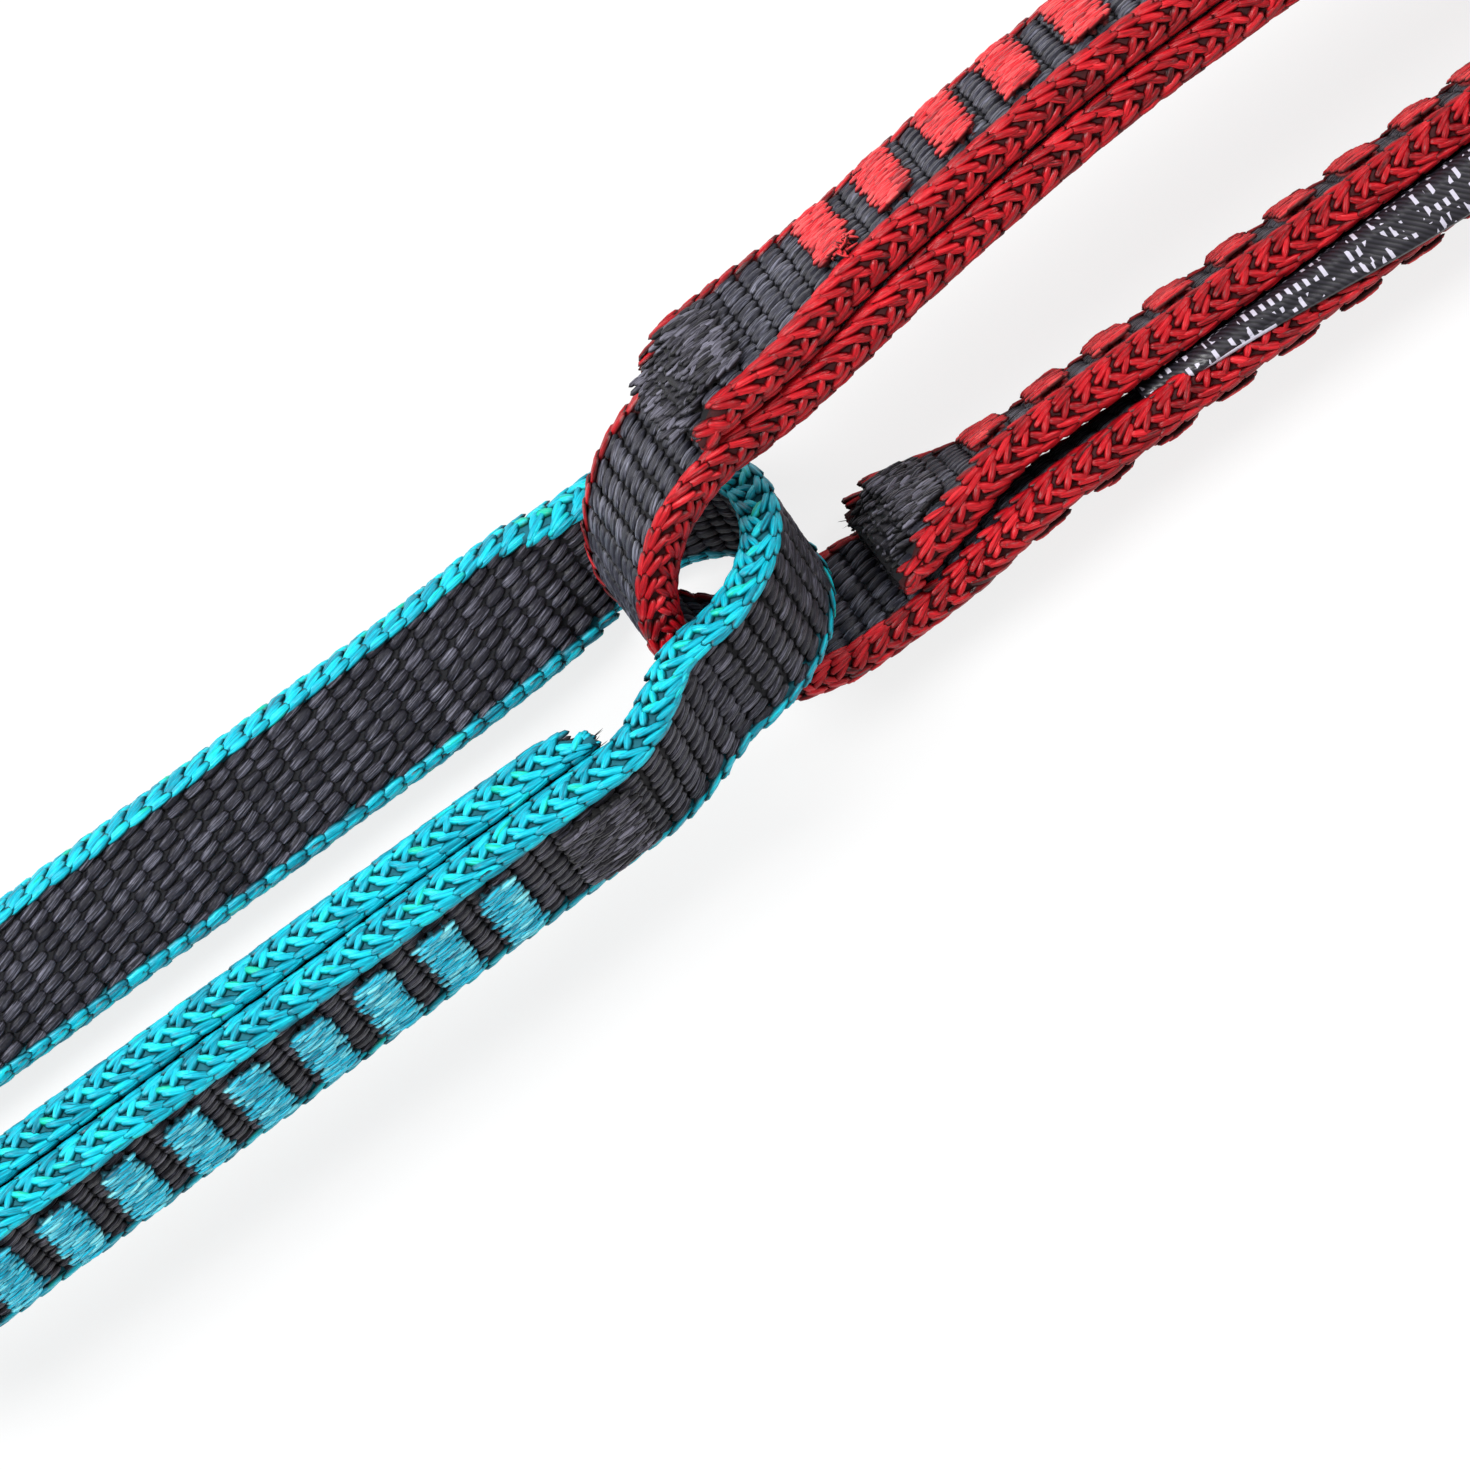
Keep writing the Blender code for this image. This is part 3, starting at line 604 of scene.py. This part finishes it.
def lay_tack(ring, node, length, thread, swing, end=None):
    """One tack in place of its node: stitches on both faces of the two layers, over pads of buried thread."""
    low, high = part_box(node)
    strand = "low" if "_low_" in node or node == "tie_in_inner_end_tack" else "high"
    u = ring.apex[0] + ((low + high).x / 2 / MM - ring.place[0]) * ring.frame[0, 0]
    face = ring.strands[strand].pitch / 2 + WEB_FACE
    cut, way = ring.cuts[end] if end else (0, 1)
    columns = round(length / COLUMN_PITCH)
    column_step = way / (columns - 1)
    across_steps = np.arange(-TACK_WIDTH / 2, TACK_WIDTH / 2 + 0.01, STITCH_PITCH)
    made = []
    for side in (1, -1):
        # The thread stands lower over a cut end that is pressed down, and runs on past the outer one.
        on_cut = end is not None and side == (1 if end == "outer" else -1)
        extra = COLUMNS_PAST_CUT if on_cut and end == "outer" else 0
        grid = np.array([(column, b) for b in across_steps for column in range(-extra, columns)])
        count = len(grid)
        row = np.round((grid[:, 1] + TACK_WIDTH / 2) / STITCH_PITCH)
        a = (grid[:, 0] - (columns - 1) / 2) * (length - STITCH_LENGTH) * column_step
        a = a + JAG * np.sin(row * JAG_STEP) + luck.normal(0, 0.12, count)
        b = grid[:, 1] + luck.normal(0, 0.05, count)
        dome = (DOME_EDGE + DOME_RISE * (1 - (a / length * DOME_LENGTH) ** 2)
                + luck.uniform(0, DOME_LOOSE, count))
        sunk = (1 - pressed((u + a - cut) * way)) * STRIP_HALF * 2 * on_cut
        point, along, out, across = ring.stack(strand, u + a)
        origin = point + across * b[:, None] + out * side * (face - sunk + dome)[:, None]
        lean = luck.normal(STITCH_LEAN, swing, count) * np.where(row % 2, 1, 0.2)
        axes = turned(np.stack([along, across * -side, out * side], 1), lean)
        sizes = np.column_stack([STITCH_LENGTH / 2 * luck.uniform(0.85, 1.2, count),
                                 STITCH_WIDTH / 2 * luck.uniform(0.85, 1.15, count),
                                 STITCH_HEIGHT * luck.uniform(0.9, 1.2, count)])
        made.append((origin, axes, sizes, luck.normal(0.5, 0.2, count)))
        # The pads are low blocks of the same thread, so that no webbing shows between the stitches; their
        # darker tone is painted shade.
        a = length * PAD_SPREAD * (np.arange(-extra, columns) * column_step - way / 2)
        sunk = (1 - pressed((u + a - cut) * way)) * STRIP_HALF * 2 * on_cut
        point, along, out, across = ring.stack(strand, u + a)
        made.append((point + out * side * (face - sunk - PAD_DEPTH)[:, None],
                     np.stack([along, across * -side, out * side], 1),
                     np.tile([length * PAD_HALF, TACK_WIDTH / 2, PAD_HEIGHT], (len(a), 1)),
                     np.full(len(a), PAD_SHADE_TONE)))
    origin, axes, sizes, tone = (np.concatenate([part[k] for part in made]) for k in range(4))
    tack = lay_yarns(f"{node}_thread", stitch_shape, origin, axes, sizes, tone, ring.body, thread)
    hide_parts(node)


for ring in rings:
    for node in sorted(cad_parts):
        if node.startswith(f"{ring.name}_") and "bar_tack" in node:
            lay_tack(ring, node, TACK_LENGTH, tack_thread[ring.kind], swing=0.09)

# End tacks: longer blocks of black thread that close the strip's two cut ends on the layer beside them.
# Their stitches are packed as close as the coloured ones but lie wilder.
END_TACK_LENGTH = 6.4
for ring in rings:
    for end in ("inner", "outer"):
        lay_tack(ring, f"{ring.name}_{end}_end_tack", END_TACK_LENGTH, tack_thread["black"],
                 swing=0.2, end=end)


# Cut ends: the strip's two ends are singed, so the yarns stop in a dark, hard, uneven rim.
# Melted ends stick out of it, charcoal in the middle and coloured at the cords, with a few loose hairs.
def loose_axes(x, out, spread):
    """Directions of loose fibres along x, whose crowns face outwards give or take the spread."""
    x = unit(x)
    y = unit(np.cross(out + luck.normal(0, spread, x.shape), x))
    return np.stack([x, y, np.cross(x, y)], 1)


RIM_HALF, RIM_TONE = 1.15, 0.25
for ring in rings:
    for end, travel, way in (("first", 0.0, -1), ("last", ring.length, 1)):
        point, along, out, across = (part[0] for part in ring.at(np.array([travel])))
        for part, finish, count, inner, outer, longest, thickest in (
            ("rim", charcoal_yarn[ring.kind], 110, 0.0, 4.5, 0.6, 0.24),
            ("cord_ends", cord_yarn[ring.kind], 36, 4.2, 5.1, 0.6, 0.24),
            ("loose_hairs", charcoal_yarn[ring.kind], 12, 0.0, 5.2, 1.5, 0.05),
        ):
            b = luck.uniform(inner, outer, count) * luck.choice((-1, 1), count)
            c = luck.uniform(-RIM_HALF, RIM_HALF, count)
            origin = (point + across * b[:, None] + out * c[:, None]
                      + along * (way * luck.uniform(-0.6, -0.1, count))[:, None])
            axes = loose_axes(along * way + luck.normal(0, 0.4, (count, 3)), out, 0.2)
            sizes = np.column_stack([luck.uniform(0.4, 1, count) * most
                                     for most in (longest, thickest, thickest)])
            rim = lay_yarns(f"{ring.name}_{end}_{part}", stitch_shape, origin, axes, sizes,
                            luck.normal(RIM_TONE, 0.15, count), ring.body, finish)
            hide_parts(f"{ring.name}_webbing")

# Thread tail: a small knot of coral thread, left where the first row of tacks was started.
# Its short strands lie criss-cross beside the first tack, over the strip's upper cord.
TAIL_STRANDS, TAIL_SHIFT, TAIL_ACROSS, TAIL_RISE = 22, 0.6, 4.3, 0.55
low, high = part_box("tie_in_high_bar_tack_01")
u = tie_in.apex[0] + (low + high).x / 2 / MM - tie_in.place[0]
point, along, out, across = (part[0] for part in tie_in.stack("high", u + TAIL_SHIFT))
origin = (point + out * (LAYER_PITCH / 2 + WEB_FACE + TAIL_RISE) + across * TAIL_ACROSS
          + luck.normal(0, 1, (TAIL_STRANDS, 3)) @ np.stack([along * 0.55, across * 0.45, out * 0.15]))
axes = loose_axes(luck.normal(0, 1, (TAIL_STRANDS, 3)) + across * 0.8, out, 0.1)
sizes = np.column_stack([luck.uniform(least, most, TAIL_STRANDS)
                         for least, most in ((0.4, 0.85), (0.13, 0.2), (0.13, 0.2))])
tail = lay_yarns("tie_in_thread_tail", stitch_shape, origin, axes, sizes,
                 luck.normal(0.6, 0.15, TAIL_STRANDS), tie_in.body, tack_thread["tie_in"])
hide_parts("tie_in_high_bar_tack_01")

# Woven label: a black satin tape folded in half, its two edges caught in the slit of the lower strand.
# It comes up out of the slit and turns out over the edge cord, and its folded flap widens along it.
LABEL_START, LABEL_LENGTH, LABEL_PLY, PLY_HALF_GAP = 27.0, 46.0, 0.18, 0.16
LABEL_STEPS, BEND_STEPS, FLAP_STEPS = 60, 6, 4
# It is fully out of the slit after an eighth of its length, and its flap is widest after five sevenths.
SEWN_EDGE, LEAST_REACH, REACH_GAIN, REACH_SPEED, BEND_RADIUS = -4.9, 2.4, 2.7, 8, 0.95
LEAST_FLAP, FLAP_GAIN, FLAP_SPEED, FOLD_BULGE, FLAP_WAVE, WAVE_SPEED = 0.1, 2.7, 1.4, 0.14, 0.12, 9
rows, fibre_rows = [], []
for share in np.linspace(0, 1, LABEL_STEPS + 1):
    reach = LEAST_REACH + REACH_GAIN * float(smooth_step(share * REACH_SPEED)[0])
    flap = LEAST_FLAP + FLAP_GAIN * float(smooth_step(share * FLAP_SPEED)[0])
    # The line between both plies, as outward and across: up the slit, round the bend and along the flap.
    line = [(0.0, SEWN_EDGE), (0.0, 0.0), (0.0, reach)]
    for k in range(1, BEND_STEPS + 1):
        turn = math.pi / 2 * k / BEND_STEPS
        line.append((BEND_RADIUS * (1 - math.cos(turn)), reach + BEND_RADIUS * math.sin(turn)))
    bend_out, bend_across = line[-1]
    for step in range(1, FLAP_STEPS + 1):
        line.append((bend_out + flap * step / FLAP_STEPS,
                     bend_across + FLAP_WAVE * math.sin(share * WAVE_SPEED + step)))
    line = np.array(line)
    way = unit(np.gradient(line, axis=0))
    beside = np.column_stack([-way[:, 1], way[:, 0]]) * PLY_HALF_GAP
    # The tape goes down one side of that line, round the fold and back on the other side.
    tape = np.concatenate([line - beside, line[-1:] + way[-1:] * FOLD_BULGE, (line + beside)[::-1]])
    point, _, out, across = (part[0] for part in tie_in.stack("low", LABEL_START + LABEL_LENGTH * share))
    rows.append(point + tape[:, :1] * out + tape[:, 1:] * across)
    across_tape = np.concatenate([[0], np.cumsum(np.linalg.norm(np.diff(tape, axis=0), axis=1))])
    fibre_rows.append(across_tape - across_tape[len(line)])
rows, fibre_rows = np.array(rows), np.array(fibre_rows)
last_row, last_column = rows.shape[0] - 1, rows.shape[1] - 1
bm = bmesh.new()
bmesh.ops.create_grid(bm, x_segments=last_row, y_segments=last_column, size=1)
weave = bm.loops.layers.uv.new("fibre")
for face in bm.faces:
    for loop in face.loops:
        i, k = grid_place(loop.vert, last_row, last_column)
        loop[weave].uv = (LABEL_LENGTH * i / last_row, fibre_rows[i, k])
for vert in bm.verts:
    vert.co = Vector(rows[grid_place(vert, last_row, last_column)]) * MM
bmesh.ops.recalc_face_normals(bm, faces=bm.faces)
mesh = bpy.data.meshes.new("tie_in_label_tape")
bm.to_mesh(mesh)
bm.free()
mesh.shade_smooth()
# Polyester satin: black, smooth, with slanting twill lines 0.4 mm apart, clusters of pale woven dashes
# and, at its start, a pale line along the fold.
EDGE_LINE_HALF, EDGE_LINE_LENGTH = 0.2, 11.0
label_finish, tree, shader = new_finish("black_satin_label_tape")
uv = add_node(tree, "ShaderNodeUVMap", uv_map="fibre")
twill = add_node(tree, "ShaderNodeTexWave", {"Vector": uv.outputs[0], "Scale": 1.1, "Distortion": 0.4},
                 bands_direction="DIAGONAL")
black = add_node(tree, "ShaderNodeValToRGB", {0: twill.outputs[0]})
for stop, colour in zip(black.color_ramp.elements, ("#111016", "#2B2932")):
    stop.color = linear(colour)
dashes = add_node(tree, "ShaderNodeTexBrick",
                  {"Vector": uv.outputs[0], "Scale": 1.0, "Color1": (1, 1, 1, 1), "Color2": (1, 1, 1, 1),
                   "Mortar": (0, 0, 0, 1), "Mortar Size": 0.22, "Brick Width": 0.75, "Row Height": 1.3})
patches = add_node(tree, "ShaderNodeTexNoise", {"Vector": uv.outputs[0], "Scale": 0.9, "Detail": 0.0})
clusters = add_node(tree, "ShaderNodeMath", {0: patches.outputs[0], 1: 0.54}, operation="GREATER_THAN")
shown = add_node(tree, "ShaderNodeMath", {0: dashes.outputs["Color"], 1: clusters.outputs[0]},
                 operation="MULTIPLY")
on_tape = add_node(tree, "ShaderNodeSeparateXYZ", {0: uv.outputs[0]})
at_fold = add_node(tree, "ShaderNodeMath", {0: on_tape.outputs["Y"], 1: 0.0, 2: EDGE_LINE_HALF},
                   operation="COMPARE")
at_start = add_node(tree, "ShaderNodeMath", {0: on_tape.outputs["X"], 1: EDGE_LINE_LENGTH},
                    operation="LESS_THAN")
edge_line = add_node(tree, "ShaderNodeMath", {0: at_fold.outputs[0], 1: at_start.outputs[0]},
                     operation="MULTIPLY")
woven = add_node(tree, "ShaderNodeMath", {0: shown.outputs[0], 1: edge_line.outputs[0]}, operation="MAXIMUM")
pale = add_node(tree, "ShaderNodeMix", {0: woven.outputs[0], 6: black.outputs[0], 7: linear("#C9C6D6")},
                data_type="RGBA")
tree.links.new(pale.outputs[2], shader.inputs["Base Color"])
bump = add_node(tree, "ShaderNodeBump", {"Strength": 0.5, "Distance": 0.04 * MM, "Height": twill.outputs[0]})
tree.links.new(bump.outputs[0], shader.inputs["Normal"])
shader.inputs["Roughness"].default_value = 0.4
label = add_piece("tie_in_label_tape", mesh, "tie_in_ring", label_finish)
ply = label.modifiers.new("ply", "SOLIDIFY")
ply.thickness, ply.offset = LABEL_PLY * MM, 0
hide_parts("tie_in_woven_label")

low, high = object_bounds()
